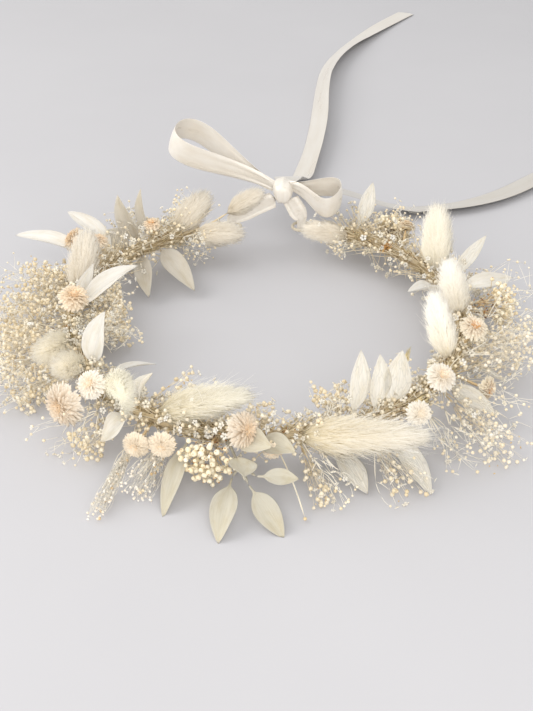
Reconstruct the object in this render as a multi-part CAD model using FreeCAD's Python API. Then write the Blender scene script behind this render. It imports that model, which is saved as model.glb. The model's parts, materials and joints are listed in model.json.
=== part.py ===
"""Flower crown: a wire hoop bound with dried flowers and leaves, tied at the back with a satin bow.

Millimetres, +Z up.  The origin is the middle of the head opening, on the surface that the crown
lies on.  Angles run round the hoop from its front (-Y), positive towards +X, so the bow is at 180.
"""

import FreeCAD, Part
import math
import os

# Hoop ---------------------------------------------------------------------------------------
HOOP_RADIUS = 93.5          # to the wire's centre line
HOOP_HEIGHT = 14.0          # of the centre line above the surface, carried by the flowers
WIRE_RADIUS = 0.8
TAPE_RADIUS = 3.0
FLEX_ANGLE = 51.0           # where each side of the hoop flexes open
FLEX_GAP = 0.45             # half the gap there, in degrees
TAPE_END = 157.0
SHANK_START = 157.5
EYELET_ANGLE = 168.0
EYELET_RADIUS = 5.0
SHANK_RADIUS = 1.3

# Ribbon -------------------------------------------------------------------------------------
RIBBON_WIDTH = 16.0
RIBBON_THICKNESS = 0.4
KNOT = (9.0, 96.0, 34.0)
KNOT_LENGTH = 15.0
KNOT_RADIUS = 6.0
TIE_WIDTH = 5.0
TIE_THICKNESS = 1.2
LOOP_WALL = 0.7
ARC_SHARE = 0.45            # an arc's tangent length, as a share of the shorter run beside it

# Plants -------------------------------------------------------------------------------------
STALK_RADIUS = 0.6
STALK_BITE = 1.2            # how far a stalk runs in under the tape
NEST_GAP = 0.3              # between the tape and a soft head that nests on it
SETTLE_HEIGHT = 3.0         # a plant whose lowest point is under this lies on the surface
LEAF_THICKNESS = 0.8
PETIOLE_RADIUS = 0.5

# Head on a stalk: angle where it is bound, tip (angle, radius, height), head length, radii
BUNNY_TAILS = {
    "bunny_tail_front_left": (-31, (-8, 91, 31), 38, 7.2, 3.2),
    "bunny_tail_front_right": (3, (29, 118, 22), 45, 8.2, 4.0),
    "bunny_tail_front_corner": (-45, (-35, 101, 27), 21, 6.2, 3.5),
    "bunny_tail_left_1": (-63, (-55, 107, 28), 22, 5.8, 3.2),
    "bunny_tail_left_2": (-76, (-65, 109, 25), 24, 5.8, 3.0),
    "bunny_tail_left_3": (-97, (-111, 97, 33), 28, 6.2, 3.5),
    "bunny_tail_back_left_1": (-146, (-159, 101, 27), 24, 7.2, 4.5),
    "bunny_tail_back_left_2": (-149, (-166, 77, 18), 22, 6.2, 4.0),
    "bunny_tail_back_left_3": (-156, (-176, 90, 33), 18, 4.5, 3.4),
    "bunny_tail_right_1": (62, (66, 82, 41), 26, 6.2, 3.8),
    "bunny_tail_right_2": (87, (83, 85, 45), 28, 6.8, 4.2),
    "bunny_tail_back_right_1": (112, (118, 98, 42), 27, 7.6, 5.5),
    "bunny_tail_back_right_2": (146, (162, 81, 19), 20, 5.0, 3.5),
}

# Strawflower: angle where it is bound, tip (angle, radius, height), diameter
STRAWFLOWERS = {
    "strawflower_front_corner": [(-50, (-47.5, 121, 19), 16)],
    "strawflower_front_corner_small": [(-47, (-44.5, 107, 29), 12)],
    "strawflowers_front_left": [(-30, (-27.5, 117, 15), 11), (-25, (-22, 114, 17), 11)],
    "strawflower_front": [(-13, (-3, 103, 25), 14)],
    "strawflower_front_bud": [(2, (1, 106, 15), 8)],
    "strawflower_front_right": [(36, (33.5, 114, 27), 10)],
    "strawflower_right_corner": [(48, (46, 104, 31), 12)],
    "strawflowers_right": [(60, (58, 117, 13), 11), (71, (68, 101, 34), 12)],
    "strawflower_back_right": [(130, (134, 105, 27), 9)],
    "strawflower_back_left": [(-140, (-138, 92, 30), 9)],
    "strawflowers_left": [
        (-122, (-118, 118, 28), 13), (-115, (-117, 99, 34), 13), (-86, (-82, 90, 35), 14)],
}

# Spray that widens outwards: angle where it is bound, tip (angle, radius, height), length, radius
SPRAYS = {
    "rice_flower_front": [(-13, (-12, 118, 13), 25, 9.0)],
    "rice_flower_right": [(92, (91, 121, 19), 25, 9.5)],
    "rice_flower_back_right": [(139, (139, 112, 20), 20, 8.0)],
    "gypsophila_front": [
        (8, (11, 125, 3.6), 14, 3.4), (25, (26, 135, 4.0), 18, 4.0), (-36, (-22, 74, 24), 22, 4.5),
        (-3, (-2, 82, 24), 12, 4.0), (-40, (-40, 122, 6), 22, 5.5), (19, (20, 79, 26), 15, 6.0)],
    "gypsophila_left": [
        (-66, (-64, 126, 8), 26, 7.0), (-78, (-77, 128, 11), 28, 8.5), (-89, (-90, 128, 12), 28, 8.5),
        (-101, (-105, 126, 13), 28, 8.0), (-110, (-112, 118, 8), 20, 7.0), (-82, (-86, 66, 12), 20, 6.0),
        (-94, (-99, 72, 15), 16, 5.0), (-128, (-130, 118, 7), 18, 6.5), (-150, (-152, 118, 7), 20, 6.5)],
    "gypsophila_right": [
        (56.5, (77, 128, 19), 26, 8.0), (53, (46, 142, 7), 28, 6.5), (78, (80, 122, 10), 22, 6.0),
        (108, (108, 120, 8), 22, 7.5), (124, (125, 118, 7), 20, 6.5), (150, (152, 112, 6), 16, 5.5)],
    "broom_front_left": [(-24, (-24, 130, 4.5), 24, 4.2), (-33, (-27.5, 146, 2.4), 30, 2.0)],
}

# Leaves: each starts on the hoop (an angle) or at a point (angle, radius, height); then its tip,
# its width, and its roll about its own length
LEAVES = {
    "leaf_sprig_front": [
        ((-7, 112, 8), (-7.5, 142, 0.6), 11, 0), ((-3.5, 117, 9), (2.8, 138, 0.6), 10, 10),
        ((-2, 117, 13), (6.2, 118, 12), 7, 20), ((-6, 110, 17), (-4, 121, 14), 12, -30)],
    "leaf_pair_front": [(-8, (1, 111, 23), 11, 40), (-4, (6, 110, 19), 10, 45)],
    "leaf_front_low": [(-19, (-18, 133, 0.6), 9, 0)],
    "curled_leaves_front_left": [(-37, (-31, 88, 34), 7, 60), (-34, (-36, 116, 10), 9, 0)],
    "upright_leaves_front": [
        (22, (25.5, 88, 48), 10, 70), (28, (29.5, 91, 46), 11, 80), (34, (35.5, 95, 47), 12, 80)],
    "leaves_under_front_right": [((16, 96, 9.5), (19.5, 121, 0.6), 11, 0), (30, (30, 132, 0.6), 12, 0)],
    "white_leaves_left": [(-57, (-62, 80, 40), 11, 30), (-54, (-46, 68, 16), 4, 20)],
    "leaf_pair_left": [(-91, (-98, 61, 36), 10, 30), (-94, (-98, 84, 36), 6, 60)],
    "outer_leaves_left": [(-117, (-115.5, 148, 20), 10, 20), (-125, (-124, 128, 32), 9, 30)],
    "leaf_star_back_left": [
        (-135, (-131, 104, 44), 12, 70), (-139, (-140, 106, 42), 10, 60), (-132, (-127, 110, 24), 11, 20),
        (-134, (-117, 68, 5), 10, 20), (-140, (-135, 53, 5), 12, 10)],
    "low_leaves_right": [(55, (54, 122, 9), 9, 30), (64, (68, 118, 5), 9, 0)],
    "leaves_right": [(100, (99, 70, 19), 9, 20), (102, (99, 124, 22), 8, 20)],
    "upright_leaves_back_right": [(149, (148.5, 110, 40), 9, 70), (107, (109, 117, 37), 7, 70)],
}

# Bound stems: start and end (angle, radius, height) and radius
STEM_BUNDLE = [((36, 98.7, 16), (44, 98.5, 17), 2.0), ((38, 88, 17), (46.5, 84, 33), 0.7)]

# Bow: loop ends (x, y, z), end radius and the roll of the band
LOOP_LEFT_START = (2.0, 98.0, 36.0)
LOOP_LEFT_END = (-54.0, 117.0, 57.0)
LOOP_LEFT_RADIUS = 11.0
LOOP_RIGHT_START = (16.5, 97.0, 37.0)
LOOP_RIGHT_END = (42.0, 85.0, 37.0)
LOOP_RIGHT_RADIUS = 8.0
LOOP_WIDTH = 14.0
LOOP_START_RADIUS = 2.0

# Ribbon tails' routes from the knot (x, y, z)
LYING = 0.25                # centre of a ribbon that lies on the surface
TAIL_BACK = [
    (11, 104.3, 33), (12, 121, 31), (15, 142, 20), (20, 166, 6), (26, 196, LYING), (32, 228, LYING),
    (37, 268, LYING), (40, 310, LYING), (44, 352, LYING), (52, 394, LYING), (67, 434, LYING),
    (87, 472, LYING), (108, 508, LYING), (130, 541, LYING)]
TAIL_SIDE = [
    (15.5, 103, 31), (30, 116, 27), (50, 127, 17), (72, 133, 6), (97, 137, LYING), (122, 143, LYING),
    (148, 158, LYING), (173, 182, LYING), (199, 208, LYING), (220, 240, LYING), (231, 280, LYING),
    (234, 320, LYING), (233, 360, LYING), (237, 400, LYING), (236, 438, LYING)]


def vector(point):
    return FreeCAD.Vector(*point)


def round_hoop(angle, radius=HOOP_RADIUS, height=HOOP_HEIGHT):
    """The point at an angle round the hoop, a radius from its middle and a height."""
    turn = math.radians(angle)
    return FreeCAD.Vector(radius * math.sin(turn), -radius * math.cos(turn), height)


def toward(start, end):
    return (end - start).normalize()


def stand_on(shape, start, direction):
    """Turn a shape made along +Z so that it runs from start in a direction."""
    shape.Placement = FreeCAD.Placement(start, FreeCAD.Rotation(FreeCAD.Vector(0, 0, 1), direction))
    return shape


def solid_of(shape):
    return shape.removeSplitter().Solids[0]


def spindle(start, end, start_radius, end_radius):
    """The round solid that wraps two spheres, one at each end of a line."""
    length = (end - start).Length
    gap = length - start_radius - end_radius
    lean = math.asin((start_radius - end_radius) / gap)
    low = FreeCAD.Vector(start_radius * math.cos(lean), 0, start_radius * (1 + math.sin(lean)))
    high = FreeCAD.Vector(end_radius * math.cos(lean), 0, length - end_radius * (1 - math.sin(lean)))
    low_turn = (lean - math.pi / 2) / 2
    low_middle = FreeCAD.Vector(
        start_radius * math.cos(low_turn), 0, start_radius * (1 + math.sin(low_turn)))
    high_turn = (lean + math.pi / 2) / 2
    high_middle = FreeCAD.Vector(
        end_radius * math.cos(high_turn), 0, length - end_radius * (1 - math.sin(high_turn)))
    bottom = FreeCAD.Vector(0, 0, 0)
    top = FreeCAD.Vector(0, 0, length)
    outline = Part.Wire([
        Part.Arc(bottom, low_middle, low).toShape(), Part.LineSegment(low, high).toShape(),
        Part.Arc(high, high_middle, top).toShape(), Part.LineSegment(top, bottom).toShape()])
    solid = Part.Face(outline).revolve(bottom, FreeCAD.Vector(0, 0, 1), 360)
    return stand_on(solid, start, toward(start, end))


def stalk(start, end, radius):
    return Part.makeCylinder(radius, (end - start).Length, start, toward(start, end))


def bound_end(angle, aim):
    """Where a stalk that aims at a point comes in under the tape."""
    middle = round_hoop(angle)
    along = toward(middle, aim)
    slant = along.cross(round_hoop(angle + 90, 1, 0)).Length
    return middle + along * ((TAPE_RADIUS - STALK_BITE) / slant)


def nested(head):
    """A head with room for the tape where it rests on the hoop."""
    return head.cut(NEST)


def head_on_stalk(angle, tip, head_length, start_radius, end_radius):
    """A soft head on a straight stalk bound to the hoop."""
    end = round_hoop(*tip)
    root = bound_end(angle, end)
    along = toward(root, end)
    neck = end - along * head_length
    head = nested(spindle(neck, end, start_radius, end_radius))
    return solid_of(head.fuse(stalk(root, neck + along * start_radius, STALK_RADIUS)))


def spray(angle, tip, head_length, radius):
    """The outer shape of a spray: a stalk that opens into a rounded bunch."""
    return head_on_stalk(angle, tip, head_length, STALK_RADIUS * 2, radius)


def strawflower(angle, tip, diameter):
    """A domed flower head on its stalk, facing along the stalk."""
    end = round_hoop(*tip)
    root = bound_end(angle, end)
    along = toward(root, end)
    radius = diameter / 2
    depth = diameter * 0.62
    rim = depth * 0.45
    bottom = FreeCAD.Vector(STALK_RADIUS, 0, 0)
    edge = FreeCAD.Vector(radius, 0, rim)
    rise = depth - rim
    ball = (radius ** 2 + rise ** 2) / (2 * rise)
    half_turn = math.asin(radius / ball) / 2
    shoulder = FreeCAD.Vector(ball * math.sin(half_turn), 0, depth - ball + ball * math.cos(half_turn))
    top = FreeCAD.Vector(0, 0, depth)
    outline = Part.Wire([
        Part.LineSegment(FreeCAD.Vector(0, 0, 0), bottom).toShape(),
        Part.LineSegment(bottom, edge).toShape(), Part.Arc(edge, shoulder, top).toShape(),
        Part.LineSegment(top, FreeCAD.Vector(0, 0, 0)).toShape()])
    dome = Part.Face(outline).revolve(FreeCAD.Vector(0, 0, 0), FreeCAD.Vector(0, 0, 1), 360)
    neck = end - along * depth
    dome = nested(stand_on(dome, neck, along))
    return solid_of(dome.fuse(stalk(root, neck + along * (depth / 2), STALK_RADIUS)))


def leaf(start, tip, width, roll):
    """A thin pointed blade with its stalk, rolled about its own length."""
    end = round_hoop(*tip)
    root = round_hoop(*start) if isinstance(start, tuple) else bound_end(start, end)
    along = toward(root, end)
    length = (end - root).Length
    blade_start = length * 0.2
    flat = FreeCAD.Vector(0, 0, 1)
    across = flat.cross(along).normalize()
    normal = along.cross(across)
    turn = FreeCAD.Rotation(along, roll)
    across = turn.multVec(across)
    normal = turn.multVec(normal)
    near = root + along * blade_start
    middle = root + along * (blade_start + (length - blade_start) * 0.45)
    one = Part.Arc(near, middle + across * (width / 2), end).toShape()
    other = Part.Arc(end, middle - across * (width / 2), near).toShape()
    lift = normal * (-LEAF_THICKNESS / 2)
    blade = Part.Face(Part.Wire([one, other]))
    blade.translate(lift)
    blade = blade.extrude(normal * LEAF_THICKNESS)
    petiole = stalk(root, root + along * (blade_start + length * 0.12), PETIOLE_RADIUS)
    return solid_of(blade.fuse(petiole))


def hoop_arc(start, end, radius, inner_radius=0.0):
    """A round bar, or a tube, bent along the hoop between two angles."""
    centre = FreeCAD.Vector(0, 0, HOOP_HEIGHT)
    section = Part.makeCircle(radius, round_hoop(start), round_hoop(start + 90, 1, 0))
    face = Part.Face(Part.Wire([section]))
    if inner_radius:
        bore = Part.makeCircle(inner_radius, round_hoop(start), round_hoop(start + 90, 1, 0))
        face = face.cut(Part.Face(Part.Wire([bore]))).Faces[0]
    return face.revolve(centre, FreeCAD.Vector(0, 0, 1), end - start).Solids[0]


NEST = hoop_arc(-TAPE_END, TAPE_END, TAPE_RADIUS + NEST_GAP)


def eyelet(side):
    """A ring bent in the wire's end, with the twisted shank that closes it."""
    middle = round_hoop(side * EYELET_ANGLE)
    ring = Part.makeTorus(EYELET_RADIUS, WIRE_RADIUS, middle, FreeCAD.Vector(0, 0, 1))
    shank_start = round_hoop(side * SHANK_START)
    along = toward(shank_start, middle)
    reach = (middle - shank_start).Length - EYELET_RADIUS
    return solid_of(ring.fuse(Part.makeCylinder(SHANK_RADIUS, reach, shank_start, along)))


def strap(start, end, width, thickness):
    """A flat bar between two points, its width level."""
    along = toward(start, end)
    across = along.cross(FreeCAD.Vector(0, 0, 1)).normalize()
    normal = across.cross(along)
    corner = start - across * (width / 2) - normal * (thickness / 2)
    face = Part.makePolygon([
        corner, corner + across * width, corner + across * width + normal * thickness,
        corner + normal * thickness, corner])
    return Part.Face(face).extrude(end - start)


def ribbon_tie(side):
    """The ribbon drawn up through an eyelet to just under the knot."""
    foot = round_hoop(side * EYELET_ANGLE, HOOP_RADIUS, HOOP_HEIGHT - 3)
    bend = round_hoop(side * EYELET_ANGLE, HOOP_RADIUS, HOOP_HEIGHT + 4)
    top = vector((KNOT[0] + side * 9.0, KNOT[1] - 1.0, KNOT[2] - 7.0))
    upright = Part.makeBox(TIE_WIDTH, TIE_THICKNESS, (bend - foot).Length)
    upright.translate(foot - FreeCAD.Vector(TIE_WIDTH / 2, TIE_THICKNESS / 2, 0))
    return solid_of(upright.fuse(strap(bend - FreeCAD.Vector(0, 0, 1.5), top, TIE_WIDTH, TIE_THICKNESS)))


def bow_knot():
    middle = vector(KNOT)
    half = FreeCAD.Vector(0, KNOT_LENGTH / 2, 0)
    return spindle(middle - half, middle + half, KNOT_RADIUS, KNOT_RADIUS - 0.6)


def pinched_outline(start, along, across, reach, small, large):
    """Two circles on a line with straight sides between them."""
    lean = math.asin((large - small) / reach)
    side = across * math.cos(lean) - along * math.sin(lean)
    other = across * -math.cos(lean) - along * math.sin(lean)
    far = start + along * reach
    return Part.Wire([
        Part.Arc(start + other * small, start - along * small, start + side * small).toShape(),
        Part.LineSegment(start + side * small, far + side * large).toShape(),
        Part.Arc(far + side * large, far + along * large, far + other * large).toShape(),
        Part.LineSegment(far + other * large, start + other * small).toShape()])


def bow_loop(start, end, end_radius, across):
    """One open loop of the bow, pinched at the knot and round at its far end."""
    start = vector(start)
    along = toward(start, vector(end))
    reach = (vector(end) - start).Length - LOOP_START_RADIUS - end_radius
    heart = start + along * LOOP_START_RADIUS
    across = (across - along * across.dot(along)).normalize()
    normal = along.cross(across)
    outer = Part.Face(pinched_outline(heart, along, across, reach, LOOP_START_RADIUS, end_radius))
    inner = Part.Face(pinched_outline(
        heart, along, across, reach, LOOP_START_RADIUS - LOOP_WALL, end_radius - LOOP_WALL))
    band = outer.cut(inner).Faces[0]
    band.translate(normal * (-LOOP_WIDTH / 2))
    return band.extrude(normal * LOOP_WIDTH).Solids[0]


def smooth_path(name, points):
    """Straight runs joined by tangent arcs, each as large as its two runs allow."""
    points = [vector(point) for point in points]
    edges = []
    here = points[0]
    radii = []
    for before, corner, after in zip(points, points[1:], points[2:]):
        back = toward(corner, before)
        ahead = toward(corner, after)
        reach = ARC_SHARE * min((before - corner).Length, (after - corner).Length)
        turn = math.pi - back.getAngle(ahead)
        radius = reach / math.tan(turn / 2)
        radii.append(round(radius))
        bisector = (back + ahead).normalize()
        centre = corner + bisector * (radius / math.cos(turn / 2))
        middle = centre - bisector * radius
        edges.append(Part.LineSegment(here, corner + back * reach).toShape())
        edges.append(Part.Arc(corner + back * reach, middle, corner + ahead * reach).toShape())
        here = corner + ahead * reach
    edges.append(Part.LineSegment(here, points[-1]).toShape())
    path = Part.Wire(edges)
    print(name, "length", round(path.Length, 1), "radii", radii)
    return path


def ribbon_tail(name, points):
    """A flat ribbon laid along its route, its width level all the way."""
    path = smooth_path(name, points)
    start = vector(points[0])
    along = toward(start, vector(points[1]))
    across = along.cross(FreeCAD.Vector(0, 0, 1)).normalize()
    normal = across.cross(along)
    corner = start - across * (RIBBON_WIDTH / 2) - normal * (RIBBON_THICKNESS / 2)
    section = Part.makePolygon([
        corner, corner + across * RIBBON_WIDTH,
        corner + across * RIBBON_WIDTH + normal * RIBBON_THICKNESS,
        corner + normal * RIBBON_THICKNESS, corner])
    sweep = Part.BRepOffsetAPI.MakePipeShell(path)
    sweep.setBiNormalMode(FreeCAD.Vector(0, 0, 1))
    sweep.setTransitionMode(0)
    sweep.add(section)
    sweep.build()
    sweep.makeSolid()
    ribbon = sweep.shape()
    print(name, "volume share", round(ribbon.Volume / (RIBBON_WIDTH * RIBBON_THICKNESS * path.Length), 3))
    return ribbon


def settled(solid):
    """Let a plant that almost reaches the surface down onto it."""
    if solid.BoundBox.ZMin < SETTLE_HEIGHT:
        solid.translate(FreeCAD.Vector(0, 0, -solid.BoundBox.ZMin))
    return solid


def bunch(make, pieces):
    return Part.makeCompound([settled(make(*facts)) for facts in pieces])


def hoop_parts():
    flex = FLEX_ANGLE + FLEX_GAP
    front = FLEX_ANGLE - FLEX_GAP
    return {
        "hoop_wire_front": hoop_arc(-front, front, WIRE_RADIUS),
        "hoop_wire_left": hoop_arc(-SHANK_START, -flex, WIRE_RADIUS),
        "hoop_wire_right": hoop_arc(flex, SHANK_START, WIRE_RADIUS),
        "stem_tape_front": hoop_arc(-front, front, TAPE_RADIUS, WIRE_RADIUS),
        "stem_tape_left": hoop_arc(-TAPE_END, -flex, TAPE_RADIUS, WIRE_RADIUS),
        "stem_tape_right": hoop_arc(flex, TAPE_END, TAPE_RADIUS, WIRE_RADIUS),
        "eyelet_left": eyelet(-1),
        "eyelet_right": eyelet(1),
    }


def ribbon_parts():
    level = FreeCAD.Vector(0, 0, 1).cross(vector(LOOP_LEFT_END) - vector(LOOP_LEFT_START))
    return {
        "ribbon_tie_left": ribbon_tie(-1),
        "ribbon_tie_right": ribbon_tie(1),
        "bow_knot": bow_knot(),
        "bow_loop_left": bow_loop(LOOP_LEFT_START, LOOP_LEFT_END, LOOP_LEFT_RADIUS, level),
        "bow_loop_right": bow_loop(
            LOOP_RIGHT_START, LOOP_RIGHT_END, LOOP_RIGHT_RADIUS, FreeCAD.Vector(0, 0, 1)),
        "ribbon_tail_back": ribbon_tail("ribbon_tail_back", TAIL_BACK),
        "ribbon_tail_side": ribbon_tail("ribbon_tail_side", TAIL_SIDE),
    }


def plant_parts():
    parts = {name: head_on_stalk(*facts) for name, facts in BUNNY_TAILS.items()}
    for name, flowers in STRAWFLOWERS.items():
        parts[name] = bunch(strawflower, flowers)
    for name, sprays in SPRAYS.items():
        parts[name] = bunch(spray, sprays)
    for name, leaves in LEAVES.items():
        parts[name] = bunch(leaf, leaves)
    parts["stem_bundle"] = Part.makeCompound([
        stalk(round_hoop(*start), round_hoop(*end), radius) for start, end, radius in STEM_BUNDLE])
    return parts


def main():
    os.makedirs("parts", exist_ok=True)
    parts = hoop_parts()
    parts.update(ribbon_parts())
    parts.update(plant_parts())
    for name, shape in parts.items():
        if shape.BoundBox.ZMin < -0.001:
            print(name, "reaches below the surface", round(shape.BoundBox.ZMin, 2))
        if not shape.isValid():
            print(name, "is not valid")
        shape.exportStep("parts/" + name + ".step")
    print(len(parts), "nodes")


main()
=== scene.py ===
"""The flower crown's looks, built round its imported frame.

Sizes in this file are millimetres until a piece is made, and +Z is up.  Every dried plant is
built along the axis of the CAD solid that holds its place, which is read from the frame.
"""

import json
import math
import zlib

import bpy
import numpy as np
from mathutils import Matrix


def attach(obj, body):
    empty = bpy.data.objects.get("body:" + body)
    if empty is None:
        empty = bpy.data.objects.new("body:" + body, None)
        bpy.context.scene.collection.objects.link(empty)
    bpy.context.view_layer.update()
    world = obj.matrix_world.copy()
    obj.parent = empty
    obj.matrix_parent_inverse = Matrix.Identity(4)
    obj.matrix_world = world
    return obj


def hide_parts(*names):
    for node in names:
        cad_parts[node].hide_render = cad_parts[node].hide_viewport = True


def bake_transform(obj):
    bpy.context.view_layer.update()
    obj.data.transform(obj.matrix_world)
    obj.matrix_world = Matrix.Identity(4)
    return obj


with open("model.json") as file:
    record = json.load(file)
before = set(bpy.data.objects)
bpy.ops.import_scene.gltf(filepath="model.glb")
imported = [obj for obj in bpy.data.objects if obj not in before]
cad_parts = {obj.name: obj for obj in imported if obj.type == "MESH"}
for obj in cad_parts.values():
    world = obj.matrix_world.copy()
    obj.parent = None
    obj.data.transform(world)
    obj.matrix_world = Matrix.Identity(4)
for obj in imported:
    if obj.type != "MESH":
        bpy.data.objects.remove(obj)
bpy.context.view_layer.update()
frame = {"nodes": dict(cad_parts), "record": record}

MM = 0.001
UP = np.array((0, 0, 1.0))
HOOP_RADIUS = 93.5
HOOP_HEIGHT = 14.0
TAPE_END = 157.0
EYELET_ANGLE = 168.0
GOLDEN = math.pi * (3 - math.sqrt(5))
UV_NAME = "OFBake"          # the one UV map that a piece's materials read
CELL_MARGIN = 0.06          # the part of a UV cell that stays empty on each side
FLOOR_CLEARANCE = 0.06
SPRIG_GAP = 9.0             # leaves rooted further than this from the hoop are joined to it
EGG_SHARE = 0.4             # how far a tail's hairs are lit as the smooth egg that they cover
HOOP_STATIONS = 420
HOOP_CORE = 2.75            # the bound stems' radius
CHAFF_COUNT = 1500
STRAW_COUNT = 190
NECK_RADIUS = 0.62          # a flower's own stalk
BRACTS = 16                 # small scales under each strawflower
SPRAY_WIDENING = 1.9        # how far gypsophila spreads past its plain solid

# Ribbon
RIBBON_WIDTH = 16.0
RIBBON_HALF_DEPTH = 0.22
GATHERED = 2.6              # the half-width of a loop where it is drawn together
TAIL_GATHERED = 3.2
GATHER_LENGTH = 20.0        # a tail opens to its full width over this length
KNOT = np.array((9.0, 96.0, 34.0))
KNOT_LENGTH = 15.0
TAIL_BACK = [
    (11, 104.3, 33), (12, 121, 31), (15, 142, 20), (20, 166, 6), (26, 196, 0.25), (32, 228, 0.25),
    (37, 268, 0.25), (40, 310, 0.25), (44, 352, 0.25), (52, 394, 0.25), (67, 434, 0.25),
    (87, 472, 0.25), (108, 508, 0.25), (130, 541, 0.25)]
TAIL_SIDE = [
    (15.5, 103, 31), (30, 116, 27), (50, 127, 17), (72, 133, 6), (97, 137, 0.25), (122, 143, 0.25),
    (148, 158, 0.25), (173, 182, 0.25), (199, 208, 0.25), (220, 240, 0.25), (231, 280, 0.25),
    (234, 320, 0.25), (233, 360, 0.25), (237, 400, 0.25), (236, 438, 0.25)]

# Colours, as red, green and blue
IVORY = (0.925, 0.85, 0.69)
CREAM = (0.90, 0.77, 0.54)
WHITE = (0.975, 0.945, 0.875)
PEACH = (0.94, 0.74, 0.51)
PALE_PEACH = (0.95, 0.84, 0.68)
STRAW = (0.79, 0.63, 0.38)
TAN = (0.67, 0.48, 0.26)
OLIVE = (0.56, 0.46, 0.26)
RUST = (0.62, 0.31, 0.10)
DARK = (0.10, 0.045, 0.025)
LEAF = (0.50, 0.47, 0.385)
LEAF_EDGE = (0.57, 0.52, 0.39)
SATIN = (0.80, 0.762, 0.70)
VEIL = (0.97, 0.92, 0.80)
STAR_LEAF = (0.50, 0.46, 0.395)
BLUSH = (0.86, 0.69, 0.51)
CHALKY = (0.90, 0.83, 0.72)
PALE_RUST = (0.80, 0.50, 0.20)
PALE_STRAW = (0.86, 0.72, 0.40)
RICE_TONES = ((0.94, 0.80, 0.54), (0.97, 0.91, 0.74))
BUD_TONES = ((0.77, 0.64, 0.42), (0.88, 0.80, 0.64))
FAIR_BUD_TONES = ((0.84, 0.73, 0.53), (0.94, 0.88, 0.76))
PLUME = ((0.78, 0.71, 0.54), (0.81, 0.745, 0.60))
TAPE_TONES = ((0.56, 0.43, 0.25), (0.70, 0.57, 0.37))
STRAW_TONES = ((0.67, 0.52, 0.29), (0.88, 0.77, 0.55))
WIRE_TONES = [(0.35, (0.50, 0.44, 0.33)), (0.6, (0.66, 0.60, 0.48)), (0.75, (0.35, 0.32, 0.28))]

# Stage, in metres
FLOOR_HALF = 16
FLOOR_GRAIN = [(0.3, (0.500, 0.499, 0.524)), (0.7, (0.530, 0.529, 0.554))]
FLOOR_PAINTED_FALLOFF = [(0.0, 1.0), (1.0, 0.90)]      # painted light falloff: the floor is painted a little darker behind the crown
PAINTED_FALLOFF_START = -0.2
PAINTED_FALLOFF_END = 0.6
DAYLIGHT = (1.0, 0.972, 0.935)
LENS = 52.15
CAMERA_PLACE = (0, -0.4219, 0.2823)
CAMERA_TILT = 34.74                         # degrees down from level


# Numbers


def seeded(name):
    return np.random.default_rng(zlib.crc32(name.encode()))


def unit(vectors):
    return vectors / np.maximum(np.linalg.norm(vectors, axis=-1, keepdims=True), 1e-9)


def mixed(first, second, share):
    share = np.asarray(share, float)[..., None]
    return np.asarray(first) * (1 - share) + np.asarray(second) * share


def square_to(axis):
    """Two directions square to an axis and to each other."""
    side = unit(np.cross(axis, (0.31, 0.17, 0.93)))
    return side, np.cross(axis, side)


def round_hoop(angle, radius=HOOP_RADIUS, height=HOOP_HEIGHT):
    """The point at an angle round the hoop, from its front towards +X."""
    turn = np.radians(angle)
    height = np.broadcast_to(height, np.shape(turn))
    return np.stack([radius * np.sin(turn), -radius * np.cos(turn), height], -1)


def bent(start, end, bow, stations):
    """Paths from start to end that bow out in the middle."""
    share = np.linspace(0, 1, stations)[:, None]
    line = start[:, None] * (1 - share) + end[:, None] * share
    return line + bow[:, None] * (4 * share * (1 - share))


def frames(path, facing):
    """Side and up directions along the paths, up being as near to facing as it can."""
    along = unit(np.gradient(path, axis=1))
    facing = facing[:, None] if facing.ndim == 2 else facing
    side = unit(np.cross(np.broadcast_to(facing, path.shape), along))
    return side, np.cross(along, side)


def shades(rng, many, cells, colours):
    """A random cell for each of many pieces, and the colour that goes with it."""
    tone = rng.integers(*cells, many)
    return tone, mixed(*colours, (tone - cells[0]) / max(cells[1] - cells[0] - 1, 1))


def read(vertices, key):
    """A place or direction of every vertex."""
    values = np.empty(len(vertices) * 3)
    vertices.foreach_get(key, values)
    return values.reshape(-1, 3)


def add_object(name, data):
    made = bpy.data.objects.new(name, data)
    bpy.context.scene.collection.objects.link(made)
    return made


# A mesh in the making


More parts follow.
